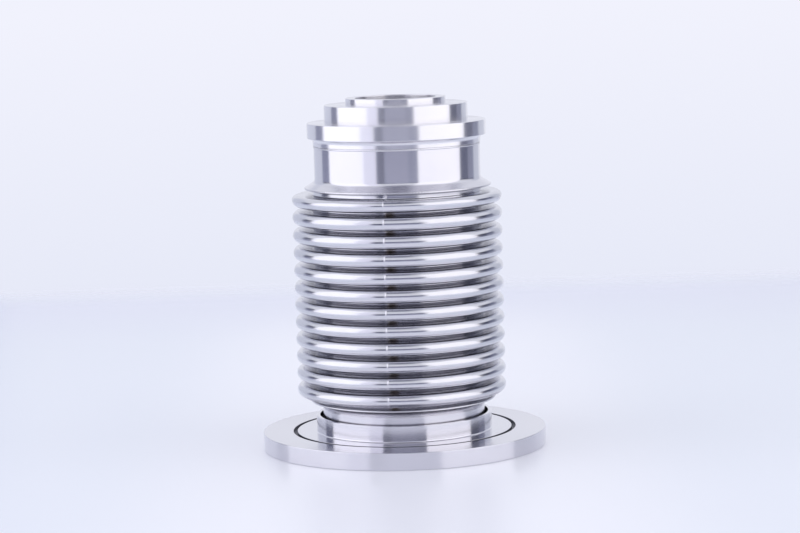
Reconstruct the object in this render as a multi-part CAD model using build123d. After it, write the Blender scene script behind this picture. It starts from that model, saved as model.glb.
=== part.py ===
"""Vacuum bellows hose: a hydroformed stainless bellows between a plain clamp flange and a stepped adapter.

Everything is turned or formed round +Z. The origin is the centre of the flange's sealing face, at the
foot of the part, and the adapter's nose is at the top. Sizes are in millimetres.
"""

import os

from build123d import *

# ---------------------------------------------------------------- driving dimensions
# Bellows: one thin tube with round crests and tighter roots, trimmed half way up its end flanks. The last
# root is pressed tighter still, between the top crest and the upper lip.
root_diameter = 68.0
convolution_depth = 8.4
crest_radius = 2.65
sheet_thickness = 0.25
convolution_pitch = 7.02
convolution_count = 12
head_root_radius = 0.62

# Sleeves: short tubes, each with a thin flared lip that the bellows is welded to. Each is set in from the
# bellows' root, and the lip stands out past it.
lower_sleeve_inset = 1.1
upper_sleeve_inset = 0.4
sleeve_wall = 2.0
sleeve_recess = 1.2
lip_overhang = 3.4
lip_thickness = 0.5
flare_radius = 3.4
lower_lip_height = 12.85
upper_sleeve_length = 16.43

# Clamp flange: a turned disc with a thin collar standing on it and a ring groove in its upper face.
flange_diameter = 115.0
flange_thickness = 7.0
collar_gap = 1.3
collar_wall = 1.5
collar_height = 6.5
collar_relief_depth = 9.0
collar_foot_fillet = 0.5
groove_outer_diameter = 90.6
groove_width = 1.65
groove_depth = 1.6

# Adapter: one stepped turning with a through bore.
register_length = 2.5
register_wall = 2.0
neck_overhang = 0.25
neck_height = 3.85
weld_groove_depth = 0.5
weld_groove_height = 0.85
neck_fillet = 1.7
rim_overhang = 2.25
rim_height = 6.1
step_diameter = 57.9
step_height = 7.0
nose_wall = 3.85
nose_height = 2.55
adapter_bore = 32.8
web_above_neck = 1.4
cavity_fillet = 1.5

# Weld beads, edge breaks and running clearances. A bead's fullness is how far its crown stands from the
# corner as a share of its legs; 0.5 would be a flat face.
edge_bead_bulge = 0.3
socket_bead_leg = 0.8
neck_bead_height = 0.65
neck_bead_bulge = 0.15
bead_fullness = 0.58
edge_break = 0.25
bore_chamfer = 0.3
slip_clearance = 0.05

# How close an edge's radius and height must be to the ones asked for when edges are picked out.
edge_match = 1e-4

# ---------------------------------------------------------------- derived sizes
root_radius = root_diameter / 2
root_arc_radius = convolution_pitch / 2 - crest_radius
lip_radius = root_radius + lip_overhang
bellows_foot = flange_thickness + lower_lip_height
bellows_length = convolution_count * convolution_pitch + 2 * (head_root_radius + sheet_thickness)
bellows_head = bellows_foot + bellows_length

lower_sleeve_radius = root_radius - lower_sleeve_inset
socket_radius = lower_sleeve_radius + slip_clearance
upper_sleeve_radius = root_radius - upper_sleeve_inset
upper_sleeve_top = bellows_head + upper_sleeve_length

collar_bore_radius = lower_sleeve_radius + collar_gap
collar_radius = collar_bore_radius + collar_wall
collar_top = flange_thickness + collar_height
relief_floor = collar_top - collar_relief_depth

bore_radius = adapter_bore / 2
nose_radius = bore_radius + nose_wall
neck_radius = upper_sleeve_radius + neck_overhang
groove_floor_radius = upper_sleeve_radius - weld_groove_depth
groove_head = upper_sleeve_top + weld_groove_height
rim_radius = neck_radius + rim_overhang
rim_foot = upper_sleeve_top + neck_height
rim_top = rim_foot + rim_height
step_top = rim_top + step_height
nose_top = step_top + nose_height
web_foot = rim_foot + web_above_neck
register_radius = upper_sleeve_radius - sleeve_wall - slip_clearance
register_bore = register_radius - register_wall


def turned(outline):
    """A solid of revolution round +Z from a closed outline of (radius, height) points."""
    corners = [(radius, 0, height) for radius, height in outline]
    section = make_face(Polyline(*corners, close=True))
    return revolve(section, Axis.Z)


def circles_at(solid, radius, height):
    """The solid's circular edges of that radius at that height, which a fillet or a chamfer then takes."""
    found = [
        edge
        for edge in solid.edges().filter_by(GeomType.CIRCLE)
        if abs(edge.radius - radius) < edge_match and abs(edge.arc_center.Z - height) < edge_match
    ]
    return ShapeList(found)


def make_base_flange():
    """Plain clamp flange, turned from bar: rim, ring groove, thin collar and the socket for the sleeve."""
    rim = flange_diameter / 2
    groove_outer = groove_outer_diameter / 2
    groove_inner = groove_outer - groove_width
    groove_floor = flange_thickness - groove_depth
    flange = turned(
        [
            (socket_radius, 0),
            (rim, 0),
            (rim, flange_thickness),
            (groove_outer, flange_thickness),
            (groove_outer, groove_floor),
            (groove_inner, groove_floor),
            (groove_inner, flange_thickness),
            (collar_radius, flange_thickness),
            (collar_radius, collar_top),
            (collar_bore_radius, collar_top),
            (collar_bore_radius, relief_floor),
            (socket_radius, relief_floor),
        ]
    )
    flange = fillet(circles_at(flange, collar_radius, flange_thickness), collar_foot_fillet)
    outer_corners = (
        circles_at(flange, rim, 0)
        + circles_at(flange, rim, flange_thickness)
        + circles_at(flange, collar_radius, collar_top)
    )
    flange = chamfer(outer_corners, edge_break)
    groove_mouth = circles_at(flange, groove_outer, flange_thickness) + circles_at(
        flange, groove_inner, flange_thickness
    )
    return chamfer(groove_mouth, edge_break / 2)


def flared_sleeve(outer_radius, lip_face, far_end):
    """A turned tube from its lip's flat weld face to its far end, with a concave flare behind the lip."""
    away = 1 if far_end > lip_face else -1
    lip_back = lip_face + away * lip_thickness
    bore = outer_radius - sleeve_wall
    sleeve = turned(
        [
            (bore, lip_face),
            (lip_radius, lip_face),
            (lip_radius, lip_back),
            (outer_radius, lip_back),
            (outer_radius, far_end),
            (bore, far_end),
        ]
    )
    sleeve = fillet(circles_at(sleeve, outer_radius, lip_back), flare_radius)
    return chamfer(circles_at(sleeve, bore, lip_face), bore_chamfer)


def make_lower_sleeve():
    """Lower sleeve: stands in the flange's socket, its end held back from the sealing face."""
    return flared_sleeve(lower_sleeve_radius, bellows_foot, sleeve_recess)


def make_upper_sleeve():
    """Upper sleeve: the longer plain tube between the bellows and the adapter."""
    return flared_sleeve(upper_sleeve_radius, bellows_head, upper_sleeve_top)


def half_bend(start, centre_radius, centre_height, arc_radius, bulge):
    """A straight run to a half-circle bend, and the bend: bulge is 1 for a crest and -1 for a root."""
    foot = Vector(centre_radius, 0, centre_height - arc_radius)
    middle = Vector(centre_radius + bulge * arc_radius, 0, centre_height)
    head = Vector(centre_radius, 0, centre_height + arc_radius)
    return [Line(start, foot), ThreePointArc(foot, middle, head)]


def make_bellows():
    """Hydroformed bellows of one thin sheet: round crests, tight roots and flat flanks between them.

    The section is drawn as a ribbon. One side is the outside skin, the other is the same line set in by
    the sheet's thickness, so every arc on one side has its partner on the other round the same centre.
    """
    crest_centre = root_radius + convolution_depth - crest_radius
    root_centre = root_radius + root_arc_radius
    trim_radius = lip_radius - slip_clearance
    first_root = bellows_foot + sheet_thickness + root_arc_radius
    head_root_centre = root_radius + head_root_radius
    head_root = bellows_head - sheet_thickness - head_root_radius

    def skin(inset):
        """One side of the ribbon from foot to head, set in from the outside skin."""
        bends = []
        for turn in range(convolution_count):
            root = first_root + turn * convolution_pitch
            crest = root + convolution_pitch / 2
            bends.append((root_centre, root, root_arc_radius + inset, -1))
            bends.append((crest_centre, crest, crest_radius - inset, 1))
        bends.append((head_root_centre, head_root, head_root_radius + inset, -1))
        runs = []
        here = Vector(trim_radius, 0, first_root - root_arc_radius - inset)
        for bend in bends:
            runs += half_bend(here, *bend)
            here = runs[-1] @ 1
        head_edge = Vector(trim_radius, 0, here.Z)
        return runs + [Line(here, head_edge)]

    outside = skin(0)
    inside = skin(sheet_thickness)
    foot_edge = Line(outside[0] @ 0, inside[0] @ 0)
    head_edge = Line(outside[-1] @ 1, inside[-1] @ 1)
    section = make_face(Wire(outside + inside + [foot_edge, head_edge]))
    return revolve(section, Axis.Z)


def edge_bead(foot, head):
    """A fused edge weld: a rounded bead that caps the lip's rim and the bellows' trimmed edge together."""
    foot_point = Vector(lip_radius, 0, foot)
    head_point = Vector(lip_radius, 0, head)
    crown = Vector(lip_radius + edge_bead_bulge, 0, (foot + head) / 2)
    section = make_face(Wire([Line(head_point, foot_point), ThreePointArc(foot_point, crown, head_point)]))
    return revolve(section, Axis.Z)


def make_lower_bellows_weld():
    """Edge weld between the lower sleeve's lip and the foot of the bellows."""
    return edge_bead(bellows_foot - lip_thickness, bellows_foot + sheet_thickness)


def make_upper_bellows_weld():
    """Edge weld between the head of the bellows and the upper sleeve's lip."""
    return edge_bead(bellows_head - sheet_thickness, bellows_head + lip_thickness)


def make_flange_weld():
    """Vacuum-side fillet weld, slightly bulged, between the lower sleeve's end and the flange's socket."""
    corner = Vector(socket_radius, 0, sleeve_recess)
    sleeve_toe = Vector(socket_radius - socket_bead_leg, 0, sleeve_recess)
    socket_toe = Vector(socket_radius, 0, sleeve_recess - socket_bead_leg)
    reach = socket_bead_leg * bead_fullness
    crown = Vector(socket_radius - reach, 0, sleeve_recess - reach)
    face_line = ThreePointArc(sleeve_toe, crown, socket_toe)
    section = make_face(Wire([Line(corner, sleeve_toe), face_line, Line(socket_toe, corner)]))
    return revolve(section, Axis.Z)


def make_adapter_weld():
    """Ring weld on the upper sleeve's end, lying in the adapter's groove under its neck."""
    head = upper_sleeve_top + neck_bead_height
    middle = upper_sleeve_top + neck_bead_height / 2
    inner_foot = Vector(groove_floor_radius, 0, upper_sleeve_top)
    outer_foot = Vector(upper_sleeve_radius, 0, upper_sleeve_top)
    crown = Vector(upper_sleeve_radius + neck_bead_bulge, 0, middle)
    outer_head = Vector(upper_sleeve_radius, 0, head)
    inner_head = Vector(groove_floor_radius, 0, head)
    face_line = ThreePointArc(outer_foot, crown, outer_head)
    floor_line = Line(inner_head, inner_foot)
    foot_line = Line(inner_foot, outer_foot)
    head_line = Line(outer_head, inner_head)
    section = make_face(Wire([foot_line, face_line, head_line, floor_line]))
    return revolve(section, Axis.Z)


def make_top_adapter():
    """Stepped adapter: register, weld groove, neck, clamping rim, shoulder step, nose and bore."""
    step_radius = step_diameter / 2
    register_foot = upper_sleeve_top - register_length
    adapter = turned(
        [
            (register_bore, register_foot),
            (register_radius, register_foot),
            (register_radius, upper_sleeve_top),
            (groove_floor_radius, upper_sleeve_top),
            (groove_floor_radius, groove_head),
            (neck_radius, groove_head),
            (neck_radius, rim_foot),
            (rim_radius, rim_foot),
            (rim_radius, rim_top),
            (step_radius, rim_top),
            (step_radius, step_top),
            (nose_radius, step_top),
            (nose_radius, nose_top),
            (bore_radius, nose_top),
            (bore_radius, web_foot),
            (register_bore, web_foot),
        ]
    )
    adapter = fillet(circles_at(adapter, neck_radius, rim_foot), neck_fillet)
    adapter = fillet(circles_at(adapter, register_bore, web_foot), cavity_fillet)
    sharp_corners = (
        circles_at(adapter, rim_radius, rim_foot)
        + circles_at(adapter, rim_radius, rim_top)
        + circles_at(adapter, step_radius, step_top)
        + circles_at(adapter, nose_radius, nose_top)
    )
    adapter = chamfer(sharp_corners, edge_break)
    return chamfer(circles_at(adapter, bore_radius, nose_top), bore_chamfer)


pieces = {
    "base_flange": make_base_flange,
    "flange_weld": make_flange_weld,
    "lower_sleeve": make_lower_sleeve,
    "lower_bellows_weld": make_lower_bellows_weld,
    "bellows": make_bellows,
    "upper_bellows_weld": make_upper_bellows_weld,
    "upper_sleeve": make_upper_sleeve,
    "adapter_weld": make_adapter_weld,
    "top_adapter": make_top_adapter,
}

os.makedirs("parts", exist_ok=True)
for name, make_piece in pieces.items():
    export_step(make_piece(), f"parts/{name}.step")
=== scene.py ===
"""Visual model of a vacuum bellows hose: bright stainless pieces, turned or formed, and welded end to end.

Sizes are in millimetres and are turned to metres where a mesh is made. Heights are measured from the
flange's sealing face, and every piece is round about the Z axis.
"""

import math

import bpy
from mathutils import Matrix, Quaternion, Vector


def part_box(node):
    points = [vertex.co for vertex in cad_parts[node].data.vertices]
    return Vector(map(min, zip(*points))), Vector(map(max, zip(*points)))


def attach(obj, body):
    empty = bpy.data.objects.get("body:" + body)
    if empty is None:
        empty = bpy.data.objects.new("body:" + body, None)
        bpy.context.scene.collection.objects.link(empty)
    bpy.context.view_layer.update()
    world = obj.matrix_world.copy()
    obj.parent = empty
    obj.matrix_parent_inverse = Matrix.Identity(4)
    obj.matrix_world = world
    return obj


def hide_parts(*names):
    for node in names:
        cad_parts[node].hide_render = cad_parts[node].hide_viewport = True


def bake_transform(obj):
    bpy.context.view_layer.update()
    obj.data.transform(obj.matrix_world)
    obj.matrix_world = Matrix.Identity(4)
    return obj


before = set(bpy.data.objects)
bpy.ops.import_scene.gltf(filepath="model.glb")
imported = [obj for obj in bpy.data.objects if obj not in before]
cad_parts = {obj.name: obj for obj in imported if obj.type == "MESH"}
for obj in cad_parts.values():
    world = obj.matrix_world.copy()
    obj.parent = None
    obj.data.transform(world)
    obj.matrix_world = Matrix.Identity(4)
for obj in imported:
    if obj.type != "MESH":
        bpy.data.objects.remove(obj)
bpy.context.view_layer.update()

# ---------------------------------------------------------------- base flange
# The foot of the hose: one disc of 304 stainless steel, turned from bar. A thin collar stands on it round
# the sleeve's socket, and a narrow ring groove in its upper face takes the hooks of the clamps.

MM = 0.001


def linear(hex_colour):
    """The linear RGBA of an sRGB colour written as six hex digits."""
    channels = [int(hex_colour[i : i + 2], 16) / 255 for i in (0, 2, 4)]
    return [c / 12.92 if c <= 0.04045 else ((c + 0.055) / 1.055) ** 2.4 for c in channels] + [1]


def add_node(tree, kind, inputs=(), **settings):
    """Adds a node with its settings. Each input is a value, or another node's output to link it to."""
    node = tree.nodes.new(kind)
    for setting, value in settings.items():
        setattr(node, setting, value)
    for socket, value in dict(inputs).items():
        if isinstance(value, bpy.types.NodeSocket):
            tree.links.new(value, node.inputs[socket])
        else:
            node.inputs[socket].default_value = value
    return node


def blank_material(name):
    """A new material and its empty node tree."""
    material = bpy.data.materials.new(name)
    material.use_nodes = True
    material.node_tree.nodes.clear()
    return material, material.node_tree


def round_the_axis(tree, place):
    """The distance from the axis, and a place that stays the same all the way round a turned piece."""
    across = add_node(tree, "ShaderNodeVectorMath", {0: place, 1: (1, 1, 0)}, operation="MULTIPLY")
    radius = add_node(tree, "ShaderNodeVectorMath", {0: across.outputs[0]}, operation="LENGTH")
    height = add_node(tree, "ShaderNodeSeparateXYZ", {0: place})
    lathe = add_node(tree, "ShaderNodeCombineXYZ", {"X": radius.outputs["Value"], "Z": height.outputs["Z"]})
    return radius.outputs["Value"], lathe.outputs[0]


def rounded(outline, segments=5):
    """The points of a closed outline of (radius, height, rounding) corners, each rounding drawn as an arc."""
    points = []
    count = len(outline)
    for i, (radius, height, rounding) in enumerate(outline):
        before, after = outline[i - 1], outline[(i + 1) % count]
        to_before = (before[0] - radius, before[1] - height)
        to_after = (after[0] - radius, after[1] - height)
        a = [v / math.hypot(*to_before) for v in to_before]
        b = [v / math.hypot(*to_after) for v in to_after]
        half_angle = math.acos(max(-1, min(1, a[0] * b[0] + a[1] * b[1]))) / 2
        reach = rounding / math.tan(half_angle)
        middle = math.hypot(a[0] + b[0], a[1] + b[1])
        to_centre = rounding / math.sin(half_angle) / middle
        centre = (radius + (a[0] + b[0]) * to_centre, height + (a[1] + b[1]) * to_centre)
        first = math.atan2(height + a[1] * reach - centre[1], radius + a[0] * reach - centre[0])
        last = math.atan2(height + b[1] * reach - centre[1], radius + b[0] * reach - centre[0])
        turn = (last - first + math.pi) % (2 * math.pi) - math.pi
        for step in range(segments + 1):
            angle = first + turn * step / segments
            points.append((centre[0] + rounding * math.cos(angle), centre[1] + rounding * math.sin(angle)))
    return points


def turned_piece(name, section, angles):
    """A closed ring swept round Z. The section is its (radius, height) points, or a function of the angle."""
    rings = [section(angle) if callable(section) else section for angle in angles]
    points = [
        (radius * math.sin(angle) * MM, -radius * math.cos(angle) * MM, height * MM)
        for angle, ring in zip(angles, rings)
        for radius, height in ring
    ]
    size = len(rings[0])
    faces = []
    for turn in range(len(angles)):
        here = turn * size
        there = (turn + 1) % len(angles) * size
        for i in range(size):
            j = (i + 1) % size
            faces.append((here + i, there + i, there + j, here + j))
    mesh = bpy.data.meshes.new(name)
    mesh.from_pydata(points, [], faces)
    signed_area = sum(p[0] * q[1] - q[0] * p[1] for p, q in zip(rings[0], rings[0][1:] + rings[0][:1]))
    if signed_area < 0:
        mesh.flip_normals()
    mesh.shade_smooth()
    piece = bpy.data.objects.new(name, mesh)
    bpy.context.scene.collection.objects.link(piece)
    flat_faces_first = piece.modifiers.new("flat faces keep their own shading", "WEIGHTED_NORMAL")
    flat_faces_first.weight = 80
    return piece


def evenly(count):
    """That many angles evenly round the circle, from the front."""
    return [2 * math.pi * i / count for i in range(count)]


def turned_steel(name, colour, roughness, feed_mm, mark_depth_mm):
    """Stainless steel off the lathe. Its fine feed marks run round the piece and smear what it mirrors
    up and down, while edges of light that stand upright stay crisp. Its grey shifts a little in patches."""
    material, tree = blank_material(name)
    place = add_node(tree, "ShaderNodeTexCoord").outputs["Object"]
    _, round_place = round_the_axis(tree, place)
    patch_mm = 14
    marks = add_node(
        tree, "ShaderNodeTexNoise", {"Vector": round_place, "Scale": 1 / (feed_mm * MM), "Detail": 2.0}
    )
    patches = add_node(
        tree, "ShaderNodeTexNoise", {"Vector": place, "Scale": 1 / (patch_mm * MM), "Detail": 3.0}
    )
    tint = add_node(
        tree,
        "ShaderNodeMix",
        {"Factor": patches.outputs["Fac"], "A": linear(colour[0]), "B": linear(colour[1])},
        data_type="RGBA",
    )
    sheen = add_node(
        tree,
        "ShaderNodeMapRange",
        {"Value": marks.outputs["Fac"], "To Min": roughness * 0.93, "To Max": roughness * 1.07},
    )
    relief = add_node(
        tree,
        "ShaderNodeBump",
        {"Height": marks.outputs["Fac"], "Distance": mark_depth_mm * MM, "Strength": 1.0},
    )
    grain = add_node(tree, "ShaderNodeTangent", direction_type="RADIAL", axis="Z")
    shader = add_node(
        tree,
        "ShaderNodeBsdfPrincipled",
        {
            "Base Color": tint.outputs["Result"],
            "Metallic": 1.0,
            "Roughness": sheen.outputs["Result"],
            "Anisotropic": 0.85,
            "Anisotropic Rotation": 0.25,
            "Tangent": grain.outputs["Tangent"],
            "Normal": relief.outputs["Normal"],
        },
    )
    add_node(tree, "ShaderNodeOutputMaterial", {"Surface": shader.outputs["BSDF"]})
    return material


# Sizes in millimetres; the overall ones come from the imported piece.
flange_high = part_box("base_flange")[1] / MM
flange_radius = flange_high.x
flange_top = 7.0
groove_radius = 45.3
groove_inner_radius = groove_radius - 1.65
groove_floor = 5.4
groove_corner = 0.2
groove_edge = 0.12
collar_radius = 35.7
collar_bore = 34.2
collar_fillet = 0.5
relief_floor = 4.5
relief_fillet = 0.3
socket_radius = 32.95
edge_break = 0.25
bore_edge = 0.15
fine_edge = 0.1
turned_angles = evenly(256)

flange_section = rounded(
    [
        (socket_radius, 0, fine_edge),
        (flange_radius, 0, edge_break),
        (flange_radius, flange_top, edge_break),
        (groove_radius, flange_top, groove_edge),
        (groove_radius, groove_floor, groove_corner),
        (groove_inner_radius, groove_floor, groove_corner),
        (groove_inner_radius, flange_top, groove_edge),
        (collar_radius, flange_top, collar_fillet),
        (collar_radius, flange_high.z, edge_break),
        (collar_bore, flange_high.z, bore_edge),
        (collar_bore, relief_floor, relief_fillet),
        (socket_radius, relief_floor, fine_edge),
    ]
)
flange = turned_piece("turned_base_flange", flange_section, turned_angles)
# A bright finish cut, and a dark grey painted inside the groove as painted shade.
flange_steel_and_groove_shade = [
    turned_steel("Turned 304 stainless, flange", ("e4e3e8", "dedde3"), 0.16, 0.35, 0.0001),
    turned_steel("Turned 304 stainless, painted groove shade", ("62636f", "54555f"), 0.4, 0.35, 0.00015),
]
for finish in flange_steel_and_groove_shade:
    flange.data.materials.append(finish)
wall_margin = 0.02
floor_margin = 0.4
# Painted shade: faces inside the groove take the dark grey material.
for face in flange.data.polygons:
    from_axis = math.hypot(face.center.x, face.center.y) / MM
    between_walls = groove_inner_radius - wall_margin < from_axis < groove_radius + wall_margin
    if between_walls and groove_floor - floor_margin < face.center.z / MM < flange_top - fine_edge:
        face.material_index = 1
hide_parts("base_flange")
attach(flange, "base")

# ---------------------------------------------------------------- lower sleeve and its welds
# A short turned tube of 316L stainless that stands in the flange's socket. Its foot is welded to the socket
# from inside, and its head flares out into a thin lip for the bellows.

sleeve_low, sleeve_high = (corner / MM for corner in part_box("lower_sleeve"))
sleeve_radius = 32.9
sleeve_wall = 2.0
sleeve_bore_edge = 0.3
lip_thickness = 0.5
lip_edge = 0.08
flare_radius = 3.4

lower_sleeve_section = rounded(
    [
        (sleeve_radius - sleeve_wall, sleeve_low.z, fine_edge),
        (sleeve_radius, sleeve_low.z, fine_edge),
        (sleeve_radius, sleeve_high.z - lip_thickness, flare_radius),
        (sleeve_high.x, sleeve_high.z - lip_thickness, lip_edge),
        (sleeve_high.x, sleeve_high.z, lip_edge),
        (sleeve_radius - sleeve_wall, sleeve_high.z, sleeve_bore_edge),
    ],
    segments=10,
)
lower_sleeve = turned_piece("turned_lower_sleeve", lower_sleeve_section, turned_angles)
# The sleeves have a finer cut than the flange.
sleeve_steel = turned_steel("Turned 316L stainless, sleeves", ("e2e1e6", "dad9e0"), 0.2, 0.3, 0.0001)
lower_sleeve.data.materials.append(sleeve_steel)
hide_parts("lower_sleeve")
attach(lower_sleeve, "base")


def fused_metal(name, colour, roughness):
    """Weld metal that froze from a bright pool: smooth, with a faint cool mottle and no tool marks."""
    material, tree = blank_material(name)
    place = add_node(tree, "ShaderNodeTexCoord").outputs["Object"]
    mottle_mm = 1.5
    mottle = add_node(
        tree, "ShaderNodeTexNoise", {"Vector": place, "Scale": 1 / (mottle_mm * MM), "Detail": 2.0}
    )
    tint = add_node(
        tree,
        "ShaderNodeMix",
        {"Factor": mottle.outputs["Fac"], "A": linear(colour[0]), "B": linear(colour[1])},
        data_type="RGBA",
    )
    sheen = add_node(
        tree,
        "ShaderNodeMapRange",
        {"Value": mottle.outputs["Fac"], "To Min": roughness * 0.7, "To Max": roughness * 1.3},
    )
    shader = add_node(
        tree,
        "ShaderNodeBsdfPrincipled",
        {"Base Color": tint.outputs["Result"], "Metallic": 1.0, "Roughness": sheen.outputs["Result"]},
    )
    add_node(tree, "ShaderNodeOutputMaterial", {"Surface": shader.outputs["BSDF"]})
    return material


weld_steel = fused_metal("Fused stainless weld metal", ("e6e5e9", "d6d5da"), 0.2)
ripple_height = 0.02
ripple_start = 0.2
steps_per_ripple = 6
bead_root = 0.05
edge_ripple = 1.2


def bead(name, outline, ripple_mm, node, body):
    """A ring weld whose crown rises and falls a little at each ripple that the torch left."""
    section = rounded(outline)
    crown = min(radius for radius, height in section) + ripple_start
    ripples = round(2 * math.pi * outline[0][0] / ripple_mm)

    def rippled(angle):
        swell = ripple_height * math.cos(ripples * angle)
        return [(radius + (swell if radius > crown else 0), height) for radius, height in section]

    piece = turned_piece(name, rippled, evenly(ripples * steps_per_ripple))
    piece.data.materials.append(weld_steel)
    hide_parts(node)
    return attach(piece, body)


weld_low, weld_high = (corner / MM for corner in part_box("flange_weld"))
weld_leg = 0.8
socket_ripple = 1.6
# The bead's face bulges a little: its middle is set in from the ends of both legs by this much.
face_inset = 0.34
face_round = 0.3
bead(
    "socket_fillet_weld",
    [
        (weld_high.x, weld_low.z, bead_root),
        (weld_high.x, weld_high.z, 0.02),
        (weld_high.x - weld_leg, weld_high.z, bead_root),
        (weld_high.x - weld_leg + face_inset, weld_low.z + face_inset, face_round),
    ],
    socket_ripple,
    "flange_weld",
    "base",
)


rim_depth = 0.5
fused_round = 0.3


def edge_weld(name, node, body):
    """The fused rim where a sleeve's lip and the edge of the bellows were melted together."""
    low, high = (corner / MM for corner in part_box(node))
    rim = high.x - ripple_height
    inner = rim - rim_depth
    outline = [
        (inner, low.z, bead_root),
        (rim, low.z, fused_round),
        (rim, high.z, fused_round),
        (inner, high.z, bead_root),
    ]
    return bead(name, outline, edge_ripple, node, body)


edge_weld("lower_edge_weld", "lower_bellows_weld", "base")

# ---------------------------------------------------------------- bellows
# One tube of 316L sheet, rolled, welded along its length and formed outward into round convolutions. Its two
# trimmed ends are fused to the sleeves' lips. It is bright on the crests and darker down in the roots with
# painted shade, and the long seam stands a little proud between patches of straw-brown heat tint.

bellows_low, bellows_high = (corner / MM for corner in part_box("bellows"))
convolutions = 12
crest_arc = 2.65
head_root_arc = 0.62
sheet = 0.25
root_radius = 34.0
trimmed_edge = 37.35
pitch = (bellows_high.z - bellows_low.z - 2 * (sheet + head_root_arc)) / convolutions
root_arc = pitch / 2 - crest_arc
crest_centre = bellows_high.x - crest_arc

# The upper side of the last crest is pressed down, which leaves a square neck under the upper lip.
head_flank = bellows_high.z - sheet - 2 * head_root_arc
head_press = 0.85
neck_squareness = 0.2

# Use has left its marks: the convolutions sag towards the foot and lean a little to one side.
settling = 0.85
drift = 0.55
drift_start = 0.5
drift_ramp = 2

seam_angle = math.radians(-7.4)
seam_half_width = 0.32
seam_height = 0.15
plain_turns = 140

# The bends from foot to head, as (centre radius, centre height, outer arc, side). The side is 1 for a crest
# and -1 for a root.
bends = []
for turn in range(convolutions):
    root_height = bellows_low.z + sheet + root_arc + turn * pitch
    bends.append((root_radius + root_arc, root_height, root_arc, -1))
    bends.append((crest_centre, root_height + pitch / 2, crest_arc, 1))
bends.append((root_radius + head_root_arc, bellows_high.z - sheet - head_root_arc, head_root_arc, -1))


def sheet_side(inset, crest_steps, root_steps):
    """One side of the sheet from its foot to its head, set in from the outer skin by that much."""
    side = [(trimmed_edge, bellows_low.z + sheet - inset)]
    for centre_radius, centre_height, outer_arc, out in bends:
        arc = outer_arc - out * inset
        steps = crest_steps if out == 1 else root_steps
        squareness = neck_squareness if centre_height > head_flank else 1
        for step in range(steps + 1):
            turn = math.pi * (step / steps - 0.5)
            reach = arc * abs(math.cos(turn)) ** squareness
            side.append((centre_radius + out * reach, centre_height + arc * math.sin(turn)))
    side.append((trimmed_edge, side[-1][1]))
    return side


def height_share(height):
    """How far up the bellows a height is, from 0 at its foot to 1 at its head."""
    return (height - bellows_low.z) / (bellows_high.z - bellows_low.z)


def settled(height):
    """Where a point of the new bellows has settled to."""
    share = height_share(height)
    press_reach = 2 * head_root_arc if height > head_flank else crest_arc
    pressed = head_press * max(0, 1 - abs(height - head_flank) / press_reach)
    return height - settling * 4 * share * (1 - share) - pressed


def from_seam(angle):
    """How far round the crests an angle is from the seam."""
    return abs((angle - seam_angle + math.pi) % (2 * math.pi) - math.pi) * bellows_high.x


def bellows_section(angle):
    """The sheet's outline at that angle, with the seam's bead raised on its outer side."""
    reach = from_seam(angle) / seam_half_width
    rise = seam_height * 0.5 * (1 + math.cos(math.pi * reach)) if reach < 1 else 0
    outer_side = sheet_side(-rise, crest_steps=18, root_steps=10)
    inner_side = sheet_side(sheet, crest_steps=8, root_steps=6)
    return [(radius, settled(height)) for radius, height in outer_side + inner_side[::-1]]


seam_shares = (-1, -0.6, -0.3, 0, 0.3, 0.6, 1)
seam_angles = [seam_angle + share * seam_half_width / bellows_high.x for share in seam_shares]
plain_angles = [angle for angle in evenly(plain_turns) if from_seam(angle) > 1.5 * seam_half_width]
bellows_angles = sorted(angle % (2 * math.pi) for angle in seam_angles + plain_angles)
bellows = turned_piece("formed_bellows", bellows_section, bellows_angles)
for vertex in bellows.data.vertices:
    from_end = min(vertex.co.z / MM - bellows_low.z, bellows_high.z - vertex.co.z / MM)
    vertex.co.x -= drift * MM * min(1, max(0, from_end - drift_start) / drift_ramp)


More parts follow.
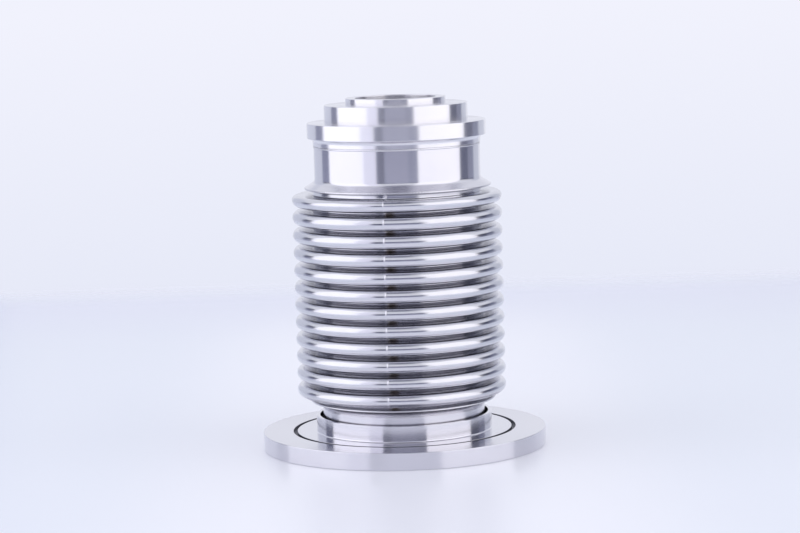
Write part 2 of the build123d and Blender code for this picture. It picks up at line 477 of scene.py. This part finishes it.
def formed_sheet(name):
    """Bright rolled sheet after forming: a soft satin gloss, faint lines round the crests from the die, and
    painted shade that greys it towards the roots. Straw-brown heat tint fades out a few millimetres from the
    seam and is deepest in the roots, and a dark band of painted shade runs right under the upper lip."""
    material, tree = blank_material(name)
    place = add_node(tree, "ShaderNodeTexCoord").outputs["Object"]
    radius, round_place = round_the_axis(tree, place)
    die_line_mm = 0.5
    mottle_mm = 6
    die_lines = add_node(
        tree, "ShaderNodeTexNoise", {"Vector": round_place, "Scale": 1 / (die_line_mm * MM), "Detail": 2.0}
    )
    mottle = add_node(
        tree, "ShaderNodeTexNoise", {"Vector": place, "Scale": 1 / (mottle_mm * MM), "Detail": 4.0}
    )

    # The neck's tones, the painted shade under the lip and the height where the painted root shade and the
    # heat tint stop, are placed by height on the sheet at rest, so they follow it over the stroke.
    place_at_rest = add_node(tree, "ShaderNodeTexCoord").outputs["Generated"]
    up_the_bellows = add_node(tree, "ShaderNodeSeparateXYZ", {0: place_at_rest}).outputs["Z"]
    neck_foot = head_flank - head_press
    lip_shade_foot = bellows_high.z - 1.15
    lip_shade_head = bellows_high.z - 0.9
    below_neck = add_node(
        tree,
        "ShaderNodeMapRange",
        {
            "Value": up_the_bellows,
            "From Min": height_share(neck_foot - 0.6),
            "From Max": height_share(neck_foot - 0.1),
            "To Min": 1.0,
            "To Max": 0.0,
        },
    )
    # Painted shade: a dark band on the neck just under the upper lip, where the lip shades it.
    in_lip_shade = add_node(
        tree,
        "ShaderNodeMapRange",
        {
            "Value": up_the_bellows,
            "From Min": height_share(lip_shade_foot),
            "From Max": height_share(lip_shade_head),
            "To Min": 0.0,
            "To Max": 0.6,
        },
    )

    # The tint lies a little to one side of the seam, on the seam's half of the tube only.
    tint_offset = 0.8
    tint_core = 0.2
    tint_reach = 3.2
    seam_direction = (math.sin(seam_angle), -math.cos(seam_angle), 0)
    seam_side = (math.cos(seam_angle), math.sin(seam_angle), 0)
    ahead = add_node(tree, "ShaderNodeVectorMath", {0: place, 1: seam_direction}, operation="DOT_PRODUCT")
    aside = add_node(tree, "ShaderNodeVectorMath", {0: place, 1: seam_side}, operation="DOT_PRODUCT")
    from_tint = add_node(
        tree, "ShaderNodeMath", {0: aside.outputs["Value"], 1: tint_offset * MM}, operation="SUBTRACT"
    )
    distance = add_node(tree, "ShaderNodeMath", {0: from_tint.outputs[0]}, operation="ABSOLUTE")
    near_seam = add_node(
        tree,
        "ShaderNodeMapRange",
        {
            "Value": distance.outputs[0],
            "From Min": tint_core * MM,
            "From Max": tint_reach * MM,
            "To Min": 1.0,
            "To Max": 0.0,
        },
        interpolation_type="SMOOTHSTEP",
    )
    in_root = add_node(
        tree,
        "ShaderNodeMapRange",
        {
            "Value": radius,
            "From Min": (root_radius + 1) * MM,
            "From Max": (crest_centre + 1.6) * MM,
            "To Min": 0.55,
            "To Max": 0.0,
        },
        interpolation_type="SMOOTHSTEP",
    )
    seam_half = add_node(
        tree, "ShaderNodeMath", {0: ahead.outputs["Value"], 1: 0.0}, operation="GREATER_THAN"
    )
    heated = near_seam.outputs[0]
    for mask in (in_root, seam_half, below_neck):
        heated = add_node(
            tree, "ShaderNodeMath", {0: heated, 1: mask.outputs[0]}, operation="MULTIPLY"
        ).outputs[0]

    # Painted shade: the sheet greys towards the roots, where the convolutions shade each other, but not on
    # the neck.
    painted_root_shade = add_node(
        tree,
        "ShaderNodeMapRange",
        {
            "Value": radius,
            "From Min": (root_radius + 2) * MM,
            "From Max": (crest_centre + 0.6) * MM,
            "To Min": 0.7,
            "To Max": 0.0,
        },
        interpolation_type="SMOOTHSTEP",
    )
    root_shade_below_neck = add_node(
        tree,
        "ShaderNodeMath",
        {0: painted_root_shade.outputs["Result"], 1: below_neck.outputs["Result"]},
        operation="MULTIPLY",
    )
    colour = add_node(
        tree,
        "ShaderNodeMix",
        {"Factor": mottle.outputs["Fac"], "A": linear("dedee3"), "B": linear("d6d6dc")},
        data_type="RGBA",
    )
    # Painted shade down in the roots, then painted shade under the lip, then the heat tint, one over the
    # other.
    for share, over in (
        (root_shade_below_neck.outputs[0], "b2b1b8"),
        (in_lip_shade.outputs["Result"], "50515f"),
        (heated, "78684f"),
    ):
        colour = add_node(
            tree,
            "ShaderNodeMix",
            {"Factor": share, "A": colour.outputs["Result"], "B": linear(over)},
            data_type="RGBA",
        )
    sheen = add_node(
        tree,
        "ShaderNodeMapRange",
        {"Value": mottle.outputs["Fac"], "To Min": 0.15, "To Max": 0.22},
    )
    relief = add_node(
        tree,
        "ShaderNodeBump",
        {"Height": die_lines.outputs["Fac"], "Distance": 0.0002 * MM, "Strength": 1.0},
    )
    shader = add_node(
        tree,
        "ShaderNodeBsdfPrincipled",
        {
            "Base Color": colour.outputs["Result"],
            "Metallic": 1.0,
            "Roughness": sheen.outputs["Result"],
            "Normal": relief.outputs["Normal"],
        },
    )
    add_node(tree, "ShaderNodeOutputMaterial", {"Surface": shader.outputs["BSDF"]})
    return material


bellows.data.materials.append(formed_sheet("Formed 316L sheet, bright"))
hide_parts("bellows")
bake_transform(bellows)

# ---------------------------------------------------------------- upper sleeve and its welds
# The same kind of turned tube the other way up, and longer. Its lip is fused to the head of the bellows,
# its flare is a cone with a tight fillet at its top, and its plain end is welded to the adapter.

edge_weld("upper_edge_weld", "upper_bellows_weld", "top")

tube_low, tube_high = (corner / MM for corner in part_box("upper_sleeve"))
tube_radius = 33.6
lip_top = tube_low.z + lip_thickness
lip_back_edge = 0.06
cone_height = 2.2
cone_inset = 0.35
cone_fillet = 1.8
fillet_height = 3.2
tube_fillet = 1.2
tube_end_edge = 0.12
tube_bore_edge = 0.08

upper_sleeve_section = rounded(
    [
        (tube_radius - sleeve_wall, tube_low.z, sleeve_bore_edge),
        (tube_high.x, tube_low.z, lip_edge),
        (tube_high.x, lip_top, lip_back_edge),
        (tube_radius + cone_inset, lip_top + cone_height, cone_fillet),
        (tube_radius, lip_top + fillet_height, tube_fillet),
        (tube_radius, tube_high.z, tube_end_edge),
        (tube_radius - sleeve_wall, tube_high.z, tube_bore_edge),
    ],
    segments=10,
)
upper_sleeve = turned_piece("turned_upper_sleeve", upper_sleeve_section, turned_angles)
upper_sleeve.data.materials.append(sleeve_steel)
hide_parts("upper_sleeve")
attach(upper_sleeve, "top")

ring_low, ring_high = (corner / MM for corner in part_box("adapter_weld"))
ring_inner = ring_high.x - 0.62
ring_shoulder = ring_high.x - 0.1
ring_middle = (ring_low.z + ring_high.z) / 2
ring_edge = 0.08
crown_round = 0.5
bead(
    "adapter_ring_weld",
    [
        (ring_inner, ring_low.z, bead_root),
        (ring_shoulder, ring_low.z, ring_edge),
        (ring_high.x - ripple_height, ring_middle, crown_round),
        (ring_shoulder, ring_high.z, ring_edge),
        (ring_inner, ring_high.z, bead_root),
    ],
    edge_ripple,
    "adapter_weld",
    "top",
)

# ---------------------------------------------------------------- top adapter
# The head of the hose: one stepped turning of 304 stainless with a through bore. Its register slips into the
# upper sleeve, and its rim, shoulder and nose are the steps that the next fitting locates on.

adapter_low, adapter_high = (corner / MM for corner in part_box("top_adapter"))
nose_radius = 20.25
nose_foot = adapter_high.z - 2.55
step_radius = 28.95
rim_top = nose_foot - 7.0
rim_foot = rim_top - 6.1
rim_fillet = 1.7
neck_radius = 33.85
neck_foot = rim_foot - 3.0
weld_groove_radius = 33.1
groove_edge_break = 0.05
register_radius = 31.55
register_edge = 0.2
register_bore = 29.55
bore_radius = 16.4
bore_chamfer = 0.3
cavity_head = rim_foot + 1.4
cavity_fillet = 1.5

adapter_section = rounded(
    [
        (register_bore, adapter_low.z, register_edge),
        (register_radius, adapter_low.z, register_edge),
        (register_radius, tube_high.z, groove_edge_break),
        (weld_groove_radius, tube_high.z, groove_edge_break),
        (weld_groove_radius, neck_foot, groove_edge_break),
        (neck_radius, neck_foot, fine_edge),
        (neck_radius, rim_foot, rim_fillet),
        (adapter_high.x, rim_foot, edge_break),
        (adapter_high.x, rim_top, edge_break),
        (step_radius, rim_top, fine_edge),
        (step_radius, nose_foot, edge_break),
        (nose_radius, nose_foot, fine_edge),
        (nose_radius, adapter_high.z, edge_break),
        (bore_radius, adapter_high.z, bore_chamfer),
        (bore_radius, cavity_head, bore_chamfer),
        (register_bore, cavity_head, cavity_fillet),
    ]
)
adapter = turned_piece("turned_top_adapter", adapter_section, turned_angles)
# A softer cut than the flange's, which blurs what it mirrors.
adapter_steel = turned_steel("Turned 304 stainless, adapter", ("e9e8ec", "e4e3e8"), 0.24, 0.35, 0.00012)
adapter.data.materials.append(adapter_steel)
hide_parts("top_adapter")
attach(adapter, "top")

# ---------------------------------------------------------------- studio
# A pale satin table with a soft edge, in a pale room. Tall light banks stand to the left and right of the
# camera, with dark flags between them and the room, and a grey curtain hangs behind the camera.


def stage_sheet(name, points, faces, material):
    """A sheet of the set, which isn't part of the object."""
    mesh = bpy.data.meshes.new(name)
    mesh.from_pydata(points, [], faces)
    mesh.materials.append(material)
    mesh.shade_smooth()
    sheet_object = bpy.data.objects.new(name, mesh)
    bpy.context.scene.collection.objects.link(sheet_object)
    return sheet_object


# Half the table's width and its drop below the flange, in metres.
table_reach = 0.56
table_drop = -0.00002


def table_finish():
    """White satin table top. It is whitest by the object with painted light, darker towards its edges with
    painted shade, and fades into the room's colour at its edges.
    """
    material, tree = blank_material("White satin table top")
    place = add_node(tree, "ShaderNodeTexCoord").outputs["Object"]
    outward = add_node(tree, "ShaderNodeVectorMath", {0: place}, operation="ABSOLUTE")
    sides = add_node(tree, "ShaderNodeSeparateXYZ", {0: outward.outputs[0]})
    # How far out a point is, in metres from the middle of the table.
    reach = add_node(
        tree, "ShaderNodeMath", {0: sides.outputs["X"], 1: sides.outputs["Y"]}, operation="MAXIMUM"
    )
    # Painted shade: the table darkens towards its edges.
    painted_edge_shade = add_node(
        tree,
        "ShaderNodeMapRange",
        {"Value": reach.outputs[0], "From Min": 0.26, "From Max": 0.5},
        interpolation_type="SMOOTHSTEP",
    )
    fade = add_node(
        tree,
        "ShaderNodeMapRange",
        {"Value": reach.outputs[0], "From Min": 0.46, "From Max": table_reach},
        interpolation_type="SMOOTHSTEP",
    )
    # Painted light: a whiter strip in front of and behind the object, where its shade falls.
    beside = add_node(
        tree,
        "ShaderNodeMapRange",
        {"Value": sides.outputs["X"], "From Min": 0.05, "From Max": 0.13},
        interpolation_type="SMOOTHSTEP",
    )
    painted_light_by_object = add_node(
        tree,
        "ShaderNodeMix",
        {"Factor": beside.outputs[0], "A": linear("f7f8fe"), "B": linear("ecf0f8")},
        data_type="RGBA",
    )
    white = add_node(
        tree,
        "ShaderNodeMix",
        {"Factor": painted_edge_shade.outputs[0], "A": painted_light_by_object.outputs["Result"], "B": linear("eaecf8")},
        data_type="RGBA",
    )
    satin = add_node(
        tree,
        "ShaderNodeBsdfPrincipled",
        {"Base Color": white.outputs["Result"], "Roughness": 0.32, "Specular IOR Level": 0.3},
    )
    clear = add_node(tree, "ShaderNodeBsdfTransparent")
    shown = add_node(
        tree, "ShaderNodeMixShader", {0: fade.outputs[0], 1: satin.outputs["BSDF"], 2: clear.outputs["BSDF"]}
    )
    add_node(tree, "ShaderNodeOutputMaterial", {"Surface": shown.outputs["Shader"]})
    return material


table_corners = [
    (-table_reach, -table_reach, table_drop),
    (table_reach, -table_reach, table_drop),
    (table_reach, table_reach, table_drop),
    (-table_reach, table_reach, table_drop),
]
stage_sheet("table_top", table_corners, [(0, 1, 2, 3)], table_finish())


def glow(name, colour, strength):
    """A panel or curtain seen by its own light."""
    material, tree = blank_material(name)
    light = add_node(tree, "ShaderNodeEmission", {"Color": linear(colour), "Strength": strength})
    add_node(tree, "ShaderNodeOutputMaterial", {"Surface": light.outputs["Emission"]})
    return material


panel_distance = 0.8


def upright_panel(name, first_degrees, last_degrees, foot, head, colour, strength=1.0):
    """A tall sheet curved round the object. Degrees are counted from the camera's side, to the right, and
    the foot and head are in metres."""
    steps = max(2, round(abs(last_degrees - first_degrees) / 3))
    points = []
    for step in range(steps + 1):
        angle = math.radians(first_degrees + (last_degrees - first_degrees) * step / steps)
        x, y = panel_distance * math.sin(angle), -panel_distance * math.cos(angle)
        points += [(x, y, foot), (x, y, head)]
    faces = [(2 * i, 2 * i + 1, 2 * i + 3, 2 * i + 2) for i in range(steps)]
    panel = stage_sheet(name, points, faces, glow(name, colour, strength))
    panel.visible_camera = False
    return panel


# Panels stand on a level below the table. The frames, flags and curtain change to a darker top at the
# split. All of these are in metres.
low = -0.35
split = 0.115
frame_head = 0.28
flag_head = 0.32
wall_head = 0.5
bank_head = 1.15
upright_panel("left_light_panel", -106, -46, low, bank_head, "f6f6ff", 1.5)
upright_panel("left_light_spill", -46, -28, low, bank_head, "e8e8f8", 1.25)
upright_panel("left_panel_frame", -28, -17, low, split, "60637c")
upright_panel("left_panel_frame_top", -28, -17, split, frame_head, "4c4f66")
upright_panel("curtain_behind_camera", -17, 15, low, split, "acaec5")
upright_panel("curtain_top", -17, 15, split, 0.3, "777990")
upright_panel("right_panel_frame", 15, 28, low, split, "9a9db6")
upright_panel("right_panel_frame_top", 15, 28, split, frame_head, "5c5f76")
upright_panel("right_light_panel", 28, 95, low, bank_head, "faf9ff", 1.4)
upright_panel("right_flag", 95, 113, low, split, "6a6d85")
upright_panel("right_flag_top", 95, 113, split, flag_head, "3c3e50")
upright_panel("right_flag_edge", 113, 129, low, split, "9599ae")
upright_panel("right_flag_edge_top", 113, 129, split, flag_head, "70738a")
upright_panel("right_wall_shade", 129, 152, low, wall_head, "d2d6e4")
upright_panel("left_flag", -124, -106, low, split, "979bb5")
upright_panel("left_flag_top", -124, -106, split, flag_head, "565970")
upright_panel("left_wall_shade", -160, -124, low, wall_head, "d8dcec")

# The room: a pale wall behind the object, even light on the table, and in what the metal mirrors a pale
# ceiling with a dark gap overhead between the light banks.
room = bpy.data.worlds.new("Pale room")
bpy.context.scene.world = room
room.use_nodes = True
room_tree = room.node_tree
room_tree.nodes.clear()
paths = add_node(room_tree, "ShaderNodeLightPath")
direction = add_node(room_tree, "ShaderNodeTexCoord").outputs["Generated"]
upward = add_node(room_tree, "ShaderNodeSeparateXYZ", {0: direction})
climb = add_node(
    room_tree, "ShaderNodeMapRange", {"Value": upward.outputs["Z"], "From Min": -0.12, "From Max": -0.02}
)
wall = add_node(
    room_tree,
    "ShaderNodeMix",
    {"Factor": climb.outputs[0], "A": linear("e7eaf8"), "B": linear("f1f2fd")},
    data_type="RGBA",
)
seen = add_node(room_tree, "ShaderNodeBackground", {"Color": wall.outputs["Result"], "Strength": 1.0})
lit = add_node(room_tree, "ShaderNodeBackground", {"Color": linear("f0f2fb"), "Strength": 1.0})
high = add_node(
    room_tree,
    "ShaderNodeMapRange",
    {"Value": upward.outputs["Z"], "From Min": 0.6, "From Max": 0.85},
    interpolation_type="SMOOTHSTEP",
)
ceiling = add_node(
    room_tree,
    "ShaderNodeMix",
    {"Factor": high.outputs["Result"], "A": linear("eceef8"), "B": linear("e4e6f0")},
    data_type="RGBA",
)
aside = add_node(room_tree, "ShaderNodeMath", {0: upward.outputs["X"]}, operation="ABSOLUTE")
between = add_node(
    room_tree,
    "ShaderNodeMapRange",
    {"Value": aside.outputs[0], "From Min": 0.1, "From Max": 0.32, "To Min": 1.0, "To Max": 0.0},
    interpolation_type="SMOOTHSTEP",
)
near_top = add_node(
    room_tree,
    "ShaderNodeMapRange",
    {"Value": upward.outputs["Z"], "From Min": 0.72, "From Max": 0.94},
    interpolation_type="SMOOTHSTEP",
)
gap = add_node(
    room_tree, "ShaderNodeMath", {0: between.outputs[0], 1: near_top.outputs[0]}, operation="MULTIPLY"
)
above = add_node(
    room_tree,
    "ShaderNodeMix",
    {"Factor": gap.outputs[0], "A": ceiling.outputs["Result"], "B": linear("7c7e90")},
    data_type="RGBA",
)
mirrored = add_node(room_tree, "ShaderNodeBackground", {"Color": above.outputs["Result"], "Strength": 1.0})
unseen = add_node(
    room_tree,
    "ShaderNodeMixShader",
    {0: paths.outputs["Is Glossy Ray"], 1: lit.outputs["Background"], 2: mirrored.outputs["Background"]},
)
mixed = add_node(
    room_tree,
    "ShaderNodeMixShader",
    {0: paths.outputs["Is Camera Ray"], 1: unseen.outputs["Shader"], 2: seen.outputs["Background"]},
)
add_node(room_tree, "ShaderNodeOutputWorld", {"Surface": mixed.outputs["Shader"]})

# Camera: a long lens at table height, looking a little down, and not quite level.
camera_distance = 1062.0
camera_height = 197.7
look_down = math.radians(6.70)
lean = math.radians(-1.64)
camera_data = bpy.data.cameras.new("studio_camera")
camera_data.lens = 118.65
camera_data.sensor_width = 36.0
camera = bpy.data.objects.new("studio_camera", camera_data)
camera.location = (0, -camera_distance * MM, camera_height * MM)
camera.rotation_mode = "QUATERNION"
aim = Quaternion((1, 0, 0), math.pi / 2 - look_down)
camera.rotation_quaternion = aim @ Quaternion((0, 0, 1), lean)
bpy.context.scene.collection.objects.link(camera)
bpy.context.scene.camera = camera
bpy.context.scene.view_settings.view_transform = "Standard"
